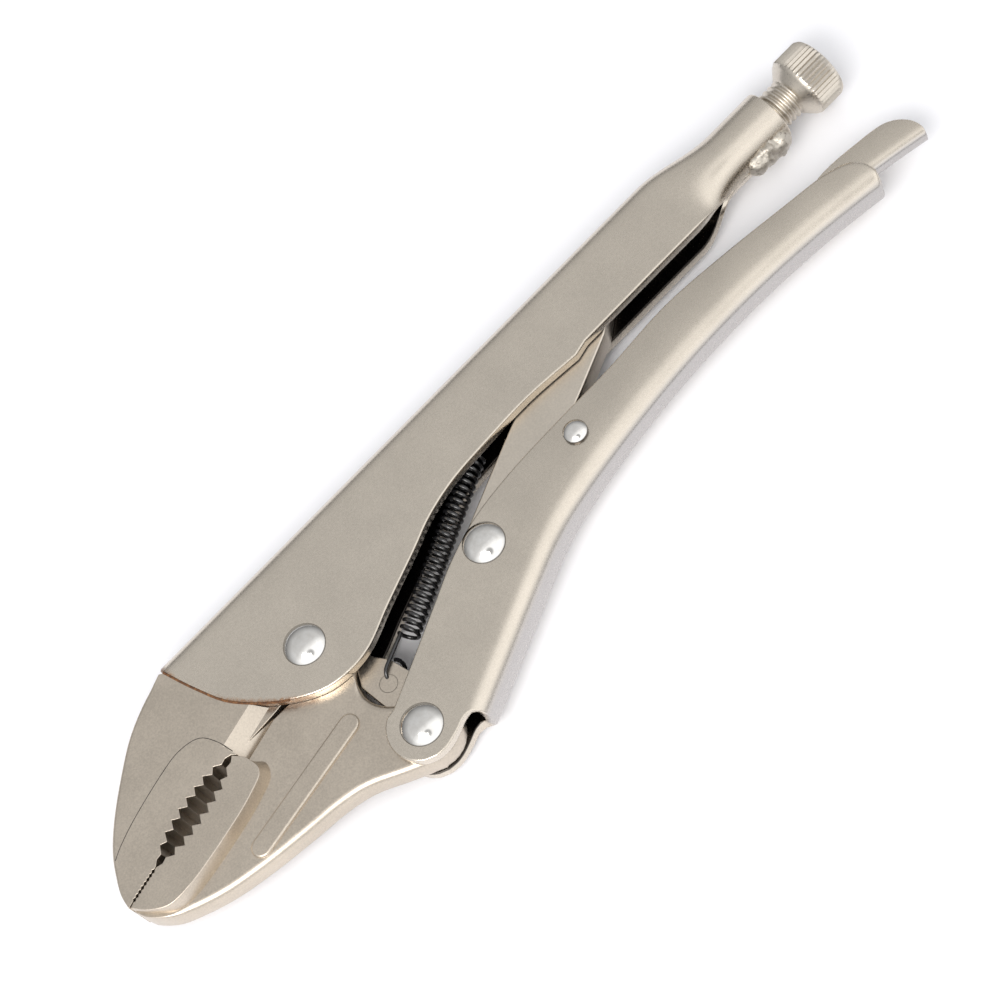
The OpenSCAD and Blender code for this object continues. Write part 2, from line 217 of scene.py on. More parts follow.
def solid(name, loops, skin, rim, points=(), smooth=40, spine_shade=lambda u, v: 0.0):
    """A closed piece: skin(u, v, depth) over the region, its edges shaped by rim(u, v).

    Its points carry "inner", their depth in the sheet from 0 to 1, and a layer named like the last
    argument and set by it at (u, v): the share of painted shade over the spine.
    """
    loops = [turned(list(loops[0]))] + [turned(list(h), False) for h in loops[1:]]
    thick = rim(*loops[0][0])[-1][1]
    bm = bmesh.new()
    inner_layer = bm.verts.layers.float.new("inner")
    spine_shade_layer = bm.verts.layers.float.new("spine_shade")

    def vertex(u, v, depth):
        vert = bm.verts.new(place(*skin(u, v, depth)))
        vert[inner_layer], vert[spine_shade_layer] = depth / thick, spine_shade(u, v)
        return vert

    fronts, backs = [], []
    for loop in loops:
        away = outward(loop)
        profiles = [rim(*p) for p in loop]
        rows = []
        for k in range(len(profiles[0])):
            steps = [profile[k] for profile in profiles]
            at = [(u - du * inset, v - dv * inset)
                  for (u, v), (du, dv), (inset, _) in zip(loop, away, steps)]
            rows.append((at, [vertex(*q, depth) for q, (_, depth) in zip(at, steps)]))
        join_rows(bm, [row for _, row in rows])
        fronts.append(rows[0])
        backs.append(rows[-1])
    for ends, depth in ((fronts, 0.0), (backs, thick)):
        rim_verts = [v for _, row in ends for v in row]
        flat, sources, triangles = fill([at for at, _ in ends], points)
        verts = [vertex(*p, depth) if k is None else rim_verts[k] for p, k in zip(flat, sources)]
        for triangle in triangles:
            corners = [verts[k] for k in triangle]
            if len(set(corners)) == 3:
                bm.faces.new(corners)
    return finish_mesh(name, bm, smooth)


def join_rows(bm, rows):
    """Faces between each closed row of vertices and the next."""
    for a, b in zip(rows, rows[1:]):
        for i in range(len(a)):
            j = (i + 1) % len(a)
            bm.faces.new((a[i], a[j], b[j], b[i]))


def close_ends(bm, rows):
    """Faces over the first row and over the last."""
    bm.faces.new(rows[0])
    bm.faces.new(rows[-1])


def finish_mesh(name, bm, smooth=40):
    """The mesh as an object, smooth wherever it bends by less than smooth degrees."""
    bmesh.ops.remove_doubles(bm, verts=bm.verts, dist=0.002 * MM)
    loose = [v for v in bm.verts if not v.link_faces]
    bmesh.ops.delete(bm, geom=loose, context="VERTS")
    bmesh.ops.recalc_face_normals(bm, faces=bm.faces)
    mesh = bpy.data.meshes.new(name)
    bm.to_mesh(mesh)
    bm.free()
    mesh.shade_smooth()
    mesh.set_sharp_from_angle(angle=math.radians(smooth))
    obj = bpy.data.objects.new(name, mesh)
    bpy.context.scene.collection.objects.link(obj)
    return obj


def slab(name, loops, half, b, step=0.8):
    """A flat plate 2 * half thick whose edges are rounded by b, a number or b(x, y)."""
    edge = as_field(b)
    return solid(
        name, [fine(loop, step) for loop in loops],
        lambda x, y, d: (x, y, half - d),
        lambda x, y: round_rim(edge(x, y), 2 * half),
    )


def lathe(name, profile, at, axis="z", turns=96, radius=None, smooth=40, rim_r=math.inf):
    """A profile of (along, r) pairs turned about an axis through at.

    radius(along, r, angle) replaces r where it is given. Points whose r is over rim_r are
    marked for a rim of painted shade.
    """
    bm = bmesh.new()
    inner = bm.verts.layers.float.new("inner")
    rows = []
    for along, r in profile:
        row = []
        for k in range(turns):
            a = 2 * math.pi * k / turns
            q = r if radius is None else radius(along, r, a)
            c, s = q * math.cos(a), q * math.sin(a)
            local = (c, s, along) if axis == "z" else (along, c, s)
            row.append(bm.verts.new(place(*(base + offset for base, offset in zip(at, local)))))
            row[-1][inner] = float(r > rim_r)
        rows.append(row)
    join_rows(bm, rows)
    close_ends(bm, rows)
    return finish_mesh(name, bm, smooth)


def tube(name, points, r, sides=10):
    """A round wire along the points, closed at both ends."""
    p = [place(*q) for q in points]
    bm = bmesh.new()
    rows, side = [], None
    for i, at in enumerate(p):
        along = (p[min(i + 1, len(p) - 1)] - p[max(i - 1, 0)]).normalized()
        if side is None:
            side = along.orthogonal()
        side = (side - along * side.dot(along)).normalized()
        other = along.cross(side)
        rows.append([
            bm.verts.new(at + (side * math.cos(a) + other * math.sin(a)) * r * MM)
            for a in (2 * math.pi * k / sides for k in range(sides))
        ])
    join_rows(bm, rows)
    close_ends(bm, rows)
    return finish_mesh(name, bm, 60)


# ---- the pressed channel ----
def section(v, d, w, r):
    """Height over the spine and z of the point v along the sheet's section, d deep."""
    flat = w / 2 - r
    q, sign = abs(v), (1 if v >= 0 else -1)
    if q <= flat:
        return d, v
    if q <= flat + r * math.pi / 2:
        a = (q - flat) / r
        return r - (r - d) * math.cos(a), sign * (flat + (r - d) * math.sin(a))
    return r + q - flat - r * math.pi / 2, sign * (w / 2 - d)


def along_section(h, w, r):
    """The inverse: v on the near side of the point h over the spine's outer face."""
    flat = w / 2 - r
    if h >= r:
        return flat + r * math.pi / 2 + h - r
    return flat + r * math.acos(max(-1.0, (r - max(h, 0.0)) / r))


BEND_STEPS = 12


def section_stops(w, r, reach, step):
    """Values of v, out to reach, at which the section gets a row of points."""
    flat = w / 2 - r
    stops = [0.0, flat]
    stops += [flat + r * math.pi / 2 * k / BEND_STEPS for k in range(1, BEND_STEPS + 1)]
    v = stops[-1] + step
    while v < reach:
        stops.append(v)
        v += step
    return sorted({-v for v in stops} | set(stops))


def spread(start, stop, step):
    """Even steps from start to stop, each about step long."""
    n = max(1, round((stop - start) / step))
    return [start + (stop - start) * k / n for k in range(n + 1)]


def right_of(a):
    """The direction a quarter turn clockwise from the angle a."""
    return np.array([math.sin(a), -math.cos(a)])


class Spine:
    """A line of straights and clockwise bends that a channel's spine follows.

    parts holds a length and a radius for each, the radius None on a straight. The line starts
    at start and leans by lean degrees.
    """

    def __init__(self, start, lean, parts):
        self.parts, s, p, a = [], 0.0, np.array(start, float), math.radians(lean)
        for length, r in parts:
            self.parts.append((s, length, r, p.copy(), a))
            if r is None:
                p = p + length * np.array([math.cos(a), math.sin(a)])
            else:
                c = p + r * right_of(a)
                a -= length / r
                p = c - r * right_of(a)
            s += length

    def point(self, s, h):
        """The point s along the line and h above it."""
        for s0, length, r, p, a in self.parts:
            if s <= s0 + length or s0 == self.parts[-1][0]:
                break
        t = s - s0
        if r is None:
            return (p[0] + t * math.cos(a) - h * math.sin(a),
                    p[1] + t * math.sin(a) + h * math.cos(a))
        c = p + r * right_of(a)
        b = a - t / r
        return (c[0] - (r + h) * math.sin(b), c[1] + (r + h) * math.cos(b))

    def locate(self, x, y):
        """The inverse of point: s and h of the point (x, y)."""
        best = None
        for k, (s0, length, r, p, a) in enumerate(self.parts):
            q = np.array([x, y]) - p
            if r is None:
                t = q[0] * math.cos(a) + q[1] * math.sin(a)
                h = -q[0] * math.sin(a) + q[1] * math.cos(a)
            else:
                c = np.array([x, y]) - (p + r * right_of(a))
                h = math.hypot(*c) - r
                t = r * (a + math.pi / 2 - math.atan2(c[1], c[0]))
            first = -math.inf if k == 0 else 0
            last = math.inf if k == len(self.parts) - 1 else length
            miss = max(first - t, t - last, 0)
            if best is None or miss < best[0]:
                best = (miss, s0 + t, h)
        return best[1], best[2]


def rounder(h, half_w, r, b):
    """How far in the sheet moves at h over the spine, to turn a bend of r into an ellipse of b."""
    h = max(0.0, h)
    bent = half_w - r + math.sqrt(r * r - (r - min(h, r)) ** 2)
    oval = half_w * math.sqrt(1 - ((b - min(h, b)) / b) ** 2)
    return (bent - oval) * h / (h + 1)


def both_sides(half):
    """A loop from its near half, which starts and ends at v = 0."""
    return half + [(u, -v) for u, v in reversed(half[1:-1])]


SPINE_SHADE_TO, SPINE_SHADE_FADE = 0.30, 0.33     # painted shade over the spine: its reach and fade, as shares of the way from the spine to the bend's end


def channel(name, half, skin, t, b, grid, bend, step=0.9):
    """A pressed sheet with painted shade over its spine, where |v| is well inside bend."""
    loop = fine(both_sides(half), step)
    edge = as_field(b)
    # the spine's share of painted shade, fading out across the bend
    return solid(name, [loop], skin, lambda u, v: round_rim(edge(u, v), t), grid, smooth=50,
                 spine_shade=lambda u, v: 1 - smoothstep((abs(v) / bend - SPINE_SHADE_TO) / SPINE_SHADE_FADE))


# ---- materials ----
NICKEL = (0.65, 0.59, 0.51)
FORGED = (0.58, 0.515, 0.435)
SCREW_TONE = (0.62, 0.57, 0.50)
LINK_TONE = (0.66, 0.60, 0.52)
# painted shade: the spine's darker tone, standing in for the dim reflection it shows
SPINE_SHADE_TONE = (0.47, 0.455, 0.455)
# painted shade: near-black for the shade inside the channels
INSIDE_SHADE_TONE = (0.045, 0.040, 0.036)
RUST = (0.16, 0.07, 0.025)


def new_material(name, color, rough, metal=1.0):
    m = bpy.data.materials.new(name)
    m.use_nodes = True
    shader = m.node_tree.nodes["Principled BSDF"]
    shader.inputs["Base Color"].default_value = (*color, 1)
    shader.inputs["Metallic"].default_value = metal
    shader.inputs["Roughness"].default_value = rough
    return m, m.node_tree, shader


def node(tree, kind, **values):
    """A node with its inputs, or its own properties, set by name."""
    n = tree.nodes.new(kind)
    for key, value in values.items():
        if key in n.inputs:
            n.inputs[key].default_value = value
        else:
            setattr(n, key, value)
    return n


def math_node(tree, operation, a, b):
    """Two values or outputs put together by one operation."""
    n = node(tree, "ShaderNodeMath", operation=operation)
    for socket, value in zip(n.inputs, (a, b)):
        if isinstance(value, (int, float)):
            socket.default_value = value
        else:
            tree.links.new(value, socket)
    return n.outputs[0]


def blended(tree, a, b, share):
    """The mean of two values, with share the weight of the second."""
    return math_node(tree, "ADD", math_node(tree, "MULTIPLY", a, 1 - share),
                     math_node(tree, "MULTIPLY", b, share))


def object_axes(tree):
    """The outputs X, Y and Z of the piece's own coordinates."""
    coord = node(tree, "ShaderNodeTexCoord")
    split = node(tree, "ShaderNodeSeparateXYZ")
    tree.links.new(coord.outputs["Object"], split.inputs[0])
    return split.outputs


def marked(tree, layer):
    """The value that a mesh layer holds at each point."""
    return node(tree, "ShaderNodeAttribute", attribute_name=layer).outputs["Fac"]


def noise_field(tree, scale, stretch=(1, 1, 1), detail=4.0, rough=0.55):
    """Noise over the piece. An axis whose stretch is under 1 has longer grains along it."""
    coord = node(tree, "ShaderNodeTexCoord")
    mapping = node(tree, "ShaderNodeMapping")
    mapping.inputs["Scale"].default_value = stretch
    tree.links.new(coord.outputs["Object"], mapping.inputs["Vector"])
    n = node(tree, "ShaderNodeTexNoise", Scale=scale, Detail=detail, Roughness=rough)
    tree.links.new(mapping.outputs[0], n.inputs["Vector"])
    return n.outputs["Fac"]


def ramp(tree, value, stops):
    """The value turned into a colour by (place, colour) stops."""
    n = node(tree, "ShaderNodeValToRGB")
    while len(n.color_ramp.elements) < len(stops):
        n.color_ramp.elements.new(0.5)
    for element, (at, color) in zip(n.color_ramp.elements, stops):
        element.position = at
        element.color = (*color, 1)
    tree.links.new(value, n.inputs["Fac"])
    return n.outputs["Color"]


def grey(v):
    return (v, v, v)


MIX_A, MIX_B, MIX_OUT = 6, 7, 2      # the colour sockets of a mix node


def mix(tree, fac, a, b, blend="MIX"):
    """Colour a, with colour b over it by fac. Each of the three may be a value or an output."""
    n = node(tree, "ShaderNodeMix", data_type="RGBA", blend_type=blend)
    if isinstance(fac, float):
        n.inputs[0].default_value = fac
    else:
        tree.links.new(fac, n.inputs[0])
    for value, socket in ((a, n.inputs[MIX_A]), (b, n.inputs[MIX_B])):
        if isinstance(value, tuple):
            socket.default_value = (*value, 1)
        else:
            tree.links.new(value, socket)
    return n.outputs[MIX_OUT]


def bump(tree, shader, height, strength, distance):
    n = node(tree, "ShaderNodeBump", Strength=strength, Distance=distance)
    tree.links.new(height, n.inputs["Height"])
    tree.links.new(n.outputs["Normal"], shader.inputs["Normal"])


BLOTCH_SCALE, SPECK_SCALE = 90.0, 2600.0
SPECK_IN_TONE, SPECK_IN_GLOSS = 0.6, 0.5


def satin_steel(name, color, rough, grain, grain_scale=1500.0, deep=0.000006, blotch=0.07):
    """Plated steel: soft blotches of tone, and a fine grain, longer where grain is under 1.

    deep is the grain's height in metres, and blotch is how much the tone varies.
    """
    m, tree, shader = new_material(name, color, rough)
    cloud = noise_field(tree, BLOTCH_SCALE, detail=3.0)
    speck = noise_field(tree, SPECK_SCALE, detail=2.0)
    dark = tuple(c * (1 - blotch) for c in color)
    light = tuple(min(1.0, c * (1 + blotch)) for c in color)
    tint = ramp(tree, blended(tree, cloud, speck, SPECK_IN_TONE), [(0.36, dark), (0.64, light)])
    tree.links.new(tint, shader.inputs["Base Color"])
    lines = noise_field(tree, grain_scale, grain, detail=3.0)
    gloss = ramp(tree, blended(tree, lines, speck, SPECK_IN_GLOSS),
                 [(0.35, grey(rough - 0.04)), (0.65, grey(rough + 0.05))])
    tree.links.new(gloss, shader.inputs["Roughness"])
    bump(tree, shader, lines, 0.35, deep)
    return m, tree, shader, tint


def sheet_steel(name):
    """The handles' plating, with its grain along x."""
    return satin_steel(name, NICKEL, 0.26, (1, 0.12, 1))


SPINE_SHADE_SHARE = 0.85               # how far painted shade takes the spine's tone to the dark one


def paint_spine_and_inside_shade(tree, shader, tint):
    """Painted shade: a sheet's spine is darkened, and its inner faces turn near-black."""
    # painted shade over the spine, by the mesh's spine layer
    tint = mix(tree, math_node(tree, "MULTIPLY", marked(tree, "spine_shade"), SPINE_SHADE_SHARE), tint, SPINE_SHADE_TONE)
    # painted shade: the inner faces turn near-black, by their depth in the sheet
    back = ramp(tree, marked(tree, "inner"), [(0.86, grey(0.0)), (0.96, grey(1.0))])
    tree.links.new(mix(tree, back, tint, INSIDE_SHADE_TONE), shader.inputs["Base Color"])


# the brazed seam's x at the height y, in mm, is a parabola: its factors of y * y, y and 1
SEAM_CURVE = (0.0208, -0.835, -17.6)
STAIN_REACH = 3.4           # how far behind the seam the stain gets


def rusty_handle():
    """The fixed handle's plating, stained where the jaw is brazed to it."""
    m, tree, shader, tint = sheet_steel("plated_sheet_stained")
    axes = object_axes(tree)
    x, y = (math_node(tree, "MULTIPLY", math_node(tree, "SUBTRACT", axes[k], PIVOT[k]), 1 / MM)
            for k in (0, 1))
    square = math_node(tree, "MULTIPLY", y, y)
    curve = math_node(tree, "ADD", math_node(tree, "MULTIPLY", square, SEAM_CURVE[0]),
                      math_node(tree, "MULTIPLY", y, SEAM_CURVE[1]))
    away = math_node(tree, "SUBTRACT", math_node(tree, "SUBTRACT", x, curve), SEAM_CURVE[2])
    ragged = noise_field(tree, 900.0, detail=6.0, rough=0.7)
    reach = math_node(tree, "SUBTRACT", math_node(tree, "MULTIPLY", ragged, STAIN_REACH), away)
    stain = ramp(tree, math_node(tree, "MULTIPLY", reach, 0.5),
                 [(0.25, grey(0.0)), (0.8, grey(0.9))])
    tone = ramp(tree, ragged, [(0.35, (0.07, 0.035, 0.02)), (0.7, (0.30, 0.15, 0.06))])
    paint_spine_and_inside_shade(tree, shader, mix(tree, stain, tint, tone))
    tree.links.new(math_node(tree, "SUBTRACT", 1.0, math_node(tree, "MULTIPLY", stain, 0.8)),
                   shader.inputs["Metallic"])
    return m


def rust_material():
    """Dry brown rust."""
    m, tree, shader = new_material("rust", RUST, 0.75, 0.0)
    speck = noise_field(tree, 1400.0, detail=6.0, rough=0.7)
    tree.links.new(ramp(tree, speck, [(0.3, (0.03, 0.015, 0.01)), (0.5, (0.13, 0.055, 0.02)),
                                      (0.75, (0.33, 0.15, 0.05))]), shader.inputs["Base Color"])
    bump(tree, shader, speck, 0.8, 0.0001)
    return m


def weld_material():
    """A rough bead, burnt dark in its hollows."""
    m, tree, shader = new_material("weld_bead", (0.50, 0.46, 0.41), 0.36)
    speck = noise_field(tree, 1300.0, detail=6.0, rough=0.7)
    tree.links.new(ramp(tree, speck, [(0.30, (0.12, 0.09, 0.07)), (0.46, (0.56, 0.52, 0.46))]),
                   shader.inputs["Base Color"])
    bump(tree, shader, speck, 0.7, 0.00025)
    return m


def chrome_material():
    """Bright rivet heads with painted shade round their rims."""
    m, tree, shader = new_material("rivet_chrome", (0.80, 0.79, 0.77), 0.1)
    cloud = ramp(tree, noise_field(tree, 500.0, detail=4.0),
                 [(0.3, (0.72, 0.70, 0.67)), (0.7, (0.84, 0.83, 0.81))])
    # painted shade: a dark ring round each head's rim
    tree.links.new(mix(tree, marked(tree, "inner"), cloud, (0.10, 0.09, 0.08)),
                   shader.inputs["Base Color"])
    speck = noise_field(tree, 700.0, detail=3.0)
    tree.links.new(ramp(tree, speck, [(0.3, grey(0.07)), (0.75, grey(0.15))]),
                   shader.inputs["Roughness"])
    return m


def spring_material():
    """Blackened wire with a film of oil."""
    m, tree, shader = new_material("black_oxide", (0.010, 0.010, 0.011), 0.2, 0.0)
    shader.inputs["Coat Weight"].default_value = 0.6
    shader.inputs["Coat Roughness"].default_value = 0.12
    speck = noise_field(tree, 900.0, detail=3.0)
    tree.links.new(ramp(tree, speck, [(0.3, grey(0.16)), (0.75, grey(0.28))]),
                   shader.inputs["Roughness"])
    return m


def dark_line_material():
    """A thin dark line where two ground surfaces meet."""
    m, tree, shader = new_material("ground_line", (0.09, 0.08, 0.07), 0.6, 0.5)
    speck = noise_field(tree, 800.0, detail=4.0)
    tree.links.new(ramp(tree, speck, [(0.3, (0.05, 0.045, 0.04)), (0.75, (0.16, 0.145, 0.13))]),
                   shader.inputs["Base Color"])
    return m


SHEET, *sheet_nodes = sheet_steel("plated_sheet")
paint_spine_and_inside_shade(*sheet_nodes)
SHEET_STAINED = rusty_handle()
JAW_STEEL = satin_steel("forged_steel", FORGED, 0.33, (1, 0.5, 1), 1600.0, 0.000022, 0.11)[0]
SCREW_STEEL = satin_steel("screw_steel", SCREW_TONE, 0.3, (0.3, 1, 1), 1600.0)[0]
LINK_STEEL = satin_steel("link_steel", LINK_TONE, 0.33, (1, 0.3, 1))[0]
RUST_SEAM = rust_material()
WELD = weld_material()
CHROME = chrome_material()
OXIDE = spring_material()
LINE = dark_line_material()


def dress(obj, material, slot, body, *nodes):
    """Gives a piece its material, and ties it to its body and to the CAD nodes it shows."""
    obj.data.materials.clear()
    obj.data.materials.append(material)
    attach(obj, body)
    if nodes:
        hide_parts(*nodes)


# ---- fixed handle ----
SEAM_POINTS = [(-26.2, 20.5), (-23.6, 11.5), (-20, 2.8), (-12.5, -5.6), (-4.5, -11)]
SEAM = spline(SEAM_POINTS)
LOWER_EDGE = spline([
    *SEAM_POINTS, (3, -12.5), (10, -11.6), (19, -7.8), (31.4, -3), (39.5, 0.3), (49, 2.5),
    (60, 3.3), (73.8, 3.7), (88.2, 2.5),
])
TUBE_REACH = math.pi * COLLAR_R - COLLAR_GAP / 2     # v at the collar's open seam
SIDE_REACH = 45                                      # v past the channel's deepest edge
SHEET_EDGE = 0.45                                    # rounding of the sheet's cut edges


def upper_skin(x, v, d):
    """The channel, which closes into a tube round the screw behind the neck."""
    h, z = section(v, d, CHANNEL_W, BEND_R)
    w = smoothstep((x - NECK_X0) / (NECK_X1 - NECK_X0))
    if w == 0:
        return x, SPINE_Y - h, z
    r = COLLAR_R - d * COLLAR_WALL / SHEET_T
    a = v / COLLAR_R
    return (x, (1 - w) * (SPINE_Y - h) + w * (SCREW_Y + r * math.cos(a)),
            (1 - w) * z + w * r * math.sin(a))


def upper_handle():
    def to_v(y):
        return along_section(SPINE_Y - y, CHANNEL_W, BEND_R)

    half = [(-25.5, 0.0), (-25.7, 1.2), (-26.6, to_v(22.2))]
    half += [(x, to_v(y)) for x, y in LOWER_EDGE]
    half += [(92, to_v(3.4)), (115, to_v(3.5)), (137, to_v(3.4))]
    half += [(NECK_X1 + 0.5, TUBE_REACH), (COLLAR_X1, TUBE_REACH), (COLLAR_X1, 0.0)]
    grid = []
    for start, stop, step, v_step in ((-25, 122, 2.5, 2.5), (124, 148, 1, 1), (150, 160, 2, 1)):
        stops = section_stops(CHANNEL_W, BEND_R, SIDE_REACH, v_step)
        grid += [(x, v) for x in spread(start, stop, step) for v in stops]
    bend = to_v(SPINE_Y - BEND_R)
    obj = channel("upper_handle", half, upper_skin, SHEET_T, SHEET_EDGE, grid, bend)
    dress(obj, SHEET_STAINED, "plated_sheet", "fixed_handle", "upper_handle")


# ---- jaws ----
NOSE = (-66.6, -14.6)
BITE_FRONT, BITE_BACK = (-56.4, -12.2), (-28.2, -6.2)
TOOTH_PITCH, TOOTH_DEPTH = 2.95, 1.6
NOSE_TEETH, NOSE_TOOTH_DEPTH = 8, 0.32
PARTING = 0.12                          # the gap between the closed jaws
JAW_HALF, PAD_HALF = 6.1, 6.0           # half the thickness of the jaws' toothed fronts
WEB_HALF, TANG_HALF = 3.4, 3.28         # and of their plates


def angle_of(a, b):
    """The angle of the way from a to b."""
    return math.atan2(b[1] - a[1], b[0] - a[0])


def bite(rise, side):
    """The toothed edge of a jaw, bowed by rise, with teeth cut towards side.

    The teeth get shallower towards both ends.
    """
    chord = math.dist(BITE_FRONT, BITE_BACK)
    n = round(chord / TOOTH_PITCH) * 2
    edge = []
    for k in range(n + 1):
        u = k / n
        h = rise * 4 * u * (1 - u)
        if k % 2:
            h += side * TOOTH_DEPTH * min(1, 6 * u * (1 - u))
        edge.append((chord * u, h))
    return swung(edge, BITE_FRONT, angle_of(BITE_FRONT, BITE_BACK))


def nose_teeth(side):
    """Fine serrations from the nose to the front of the bite."""
    start = (NOSE[0] + 1.6, NOSE[1] + 0.42)
    stop = (BITE_FRONT[0] - 0.6, BITE_FRONT[1] - 0.14)
    edge = [start, *between(start, stop, 2 * NOSE_TEETH)]
    return [(x, y + (side * NOSE_TOOTH_DEPTH if k % 2 else 0)) for k, (x, y) in enumerate(edge)]


def over_bite(x, y):
    """How far a point is over the line of the bite."""
    return y - (-9.2 + 0.2 * (x + 42))


def side_name(side):
    return "front" if side > 0 else "back"


CUTTER_AT, CUTTER_LEAN = (-26.6, -8.1), math.radians(14.4)
CUTTER_START, CUTTER_END = -0.4, 16.0
CUTTER_SECTION = ((-0.4, 1.2), (5.4, 6.4), (-0.4, 6.4))     # (height, z) of its corners


def cutter_wedge(side):
    """What is ground off one side of the fixed jaw to leave the wire cutter's edge."""
    bm = bmesh.new()
    ends = [
        [bm.verts.new(place(*swung([(t, h)], CUTTER_AT, CUTTER_LEAN)[0], side * z))
         for h, z in CUTTER_SECTION]
        for t in (CUTTER_START, CUTTER_END)
    ]
    close_ends(bm, ends)
    join_rows(bm, ends)
    return finish_mesh("wedge", bm)


def fixed_jaw():
    seam = [(x - 0.2, y - 0.1) for x, y in SEAM if y > -5.4]
    back = spline([(-27.2, 21.0), (-34.4, 18.6), (-41.8, 14.9), (-49.2, 9.4), (-55.9, 3.7),
                   (-60.9, -1.6), (-64, -6.4), (-66, -11.2), NOSE])
    loop = [*nose_teeth(1), *bite(1.7, 1), (-26.6, -7.9), (-14.2, -4.7), *seam[::-1], *back]

    def edge(x, y):
        """Sharp along the bite, rounder over it, and sharp again where the handle starts."""
        return (0.12 + 0.75 * smoothstep((over_bite(x, y) - 2.5) / 5)
                * smoothstep((-27 - x) / 5))

    obj = slab("fixed_jaw", [loop], JAW_HALF, edge, 0.7)
    cut_with(obj, [cutter_wedge(side) for side in (-1, 1)])
    dress(obj, JAW_STEEL, "forged_steel", "fixed_handle", "fixed_jaw")

    tang_loop = [(-24, -5.5), (-16, -5.2), *arc(JAW_PIVOT, 10.95, 205, 95, 14),
                 (-1, 18.4), (-24, 18.4)]
    tang = slab("fixed_jaw_tang", [tang_loop], TANG_HALF, 0.2)
    dress(tang, JAW_STEEL, "forged_steel", "fixed_handle")

    pad = spline([(-27.4, -5.8), (-28.4, -1.4), (-30.6, 2.3), (-35, 3.6), (-40.3, 3.1),
                  (-51.3, 0.2), (-58.2, -2.3), (-61.9, -4.2)])
    for side in (-1, 1):
        path = [(x, y, side * (JAW_HALF - 0.03)) for x, y in pad]
        line = tube("pad_line_" + side_name(side), path, 0.11, 6)
        dress(line, LINE, "forged_steel", "fixed_handle")
        path = [(x - 0.05, y - 0.02, side * (JAW_HALF - 0.08)) for x, y in SEAM if y > -7.5]
        seam_line = tube("rust_seam_" + side_name(side), path, 0.3, 8)
        dress(seam_line, RUST_SEAM, "plated_sheet", "fixed_handle")


def cut_with(obj, tools):
    """Cuts the tools out of the piece and removes them."""
    for tool in tools:
        m = obj.modifiers.new("cut", "BOOLEAN")
        m.operation, m.object, m.solver = "DIFFERENCE", tool, "EXACT"
    graph = bpy.context.evaluated_depsgraph_get()
    mesh = bpy.data.meshes.new_from_object(obj.evaluated_get(graph))
    obj.modifiers.clear()
    obj.data = mesh
    mesh.set_sharp_from_angle(angle=math.radians(30))
    for tool in tools:
        bpy.data.objects.remove(tool)


TAB_C, TAB_R, TAB_HALF = (9.7, -17.8), 8.6, 1.4
SPRING_HOLE, SPRING_HOLE_R = (6.7, -19.1), 1.8
PAD_FOOT = 2.75             # how deep the pad's wall runs, just into the plate
PAD_DRAFT = 1.7
LABEL_FRONT, LABEL_BACK, LABEL_R, LABEL_HALF = (-37.4, -25.9), (-5.6, -20.2), 2.4, 4.1


def lower_jaw():
    teeth = nose_teeth(-1) + bite(-1.5, -1)
    top = [*((x, y - PARTING) for x, y in teeth), (-26.4, -8.7), (-16.4, -6.1)]
    bottom = spline([(2.6, -41.6), (-4.6, -38), (-12.4, -33.9), (-19.7, -32.1), (-27.8, -31.2),
                     (-39.4, -29.6), (-50.3, -27.2), (-59.8, -23.2), (-64.8, -18.6),
                     (-66.2, -15.6), (NOSE[0] + 0.2, NOSE[1] - 0.2)])
    loop = [*top, *arc(JAW_PIVOT, 10.6, 216, -42, 30), *arc(TAB_C, TAB_R, 122, 234, 16),
            *arc(HANDLE_PIVOT, 7.8, 80, -105, 16), *bottom]

    def edge(x, y):
        """Rounded underneath, and sharp along the top and at the nose."""
        return 0.15 + 1.5 * smoothstep((-13.5 - y) / 4) * smoothstep((x + 65) / 9)

    web = slab("lower_jaw", [loop], WEB_HALF, edge, 0.7)
    dress(web, JAW_STEEL, "forged_steel", "moving_jaw", "lower_jaw")
    lower_jaw_pad(top[:-2])
    lower_jaw_label()
    spring_tab()


def lower_jaw_pad(teeth):
    """The wide toothed front, whose lower wall leans out to the plate."""
    rear = spline([(-26.4, -8.7), (-25.7, -12.2), (-26.4, -14), (-28.2, -15.2), (-35.4, -17.6),
                   (-47.2, -20.2), (-54, -21.2), (-59.6, -21.0), (-63.6, -18.4), (-65.9, -15.4)])
    loop = [*teeth, *rear, (NOSE[0] + 0.3, NOSE[1] - 0.25)]

    def rim(x, y):
        below = smoothstep((-over_bite(x, y) - 3.4) / 3) * smoothstep((x + 64.5) / 9)
        draft = PAD_DRAFT * below
        wall = ((-draft, PAD_FOOT), (-draft, PAD_FOOT + 0.25))
        return round_rim(0.12 + 0.13 * below, 2 * PAD_HALF, wall)

    pad = solid("lower_jaw_pad", [fine(loop, 0.7)], lambda x, y, d: (x, y, PAD_HALF - d), rim)
    dress(pad, JAW_STEEL, "forged_steel", "moving_jaw")


def lower_jaw_label():
    """The raised bar under the pad, left blank."""
    lean = math.degrees(angle_of(LABEL_BACK, LABEL_FRONT))
    loop = [*arc(LABEL_FRONT, LABEL_R, lean - 90, lean + 90),
            *arc(LABEL_BACK, LABEL_R, lean + 90, lean + 270)]
    label = slab("blank_label", [loop], LABEL_HALF, 0.55)
    dress(label, JAW_STEEL, "forged_steel", "moving_jaw")


def spring_tab():
    """The thin tab that the spring's front eye hooks into."""
    back = spline([(8.6, -11.6), (10.6, -15.1), (11.3, -18), (11.9, -21), (12.8, -27)])
    loop = [(2, -15), (5, -9.5), (8.2, -9.9), *back, (3, -28)]
    hole = arc(SPRING_HOLE, SPRING_HOLE_R, 0, 360, 28)[:-1]
    tab = slab("spring_tab", [loop, hole], TAB_HALF, 0.25, 0.5)
    dress(tab, JAW_STEEL, "forged_steel", "moving_jaw")


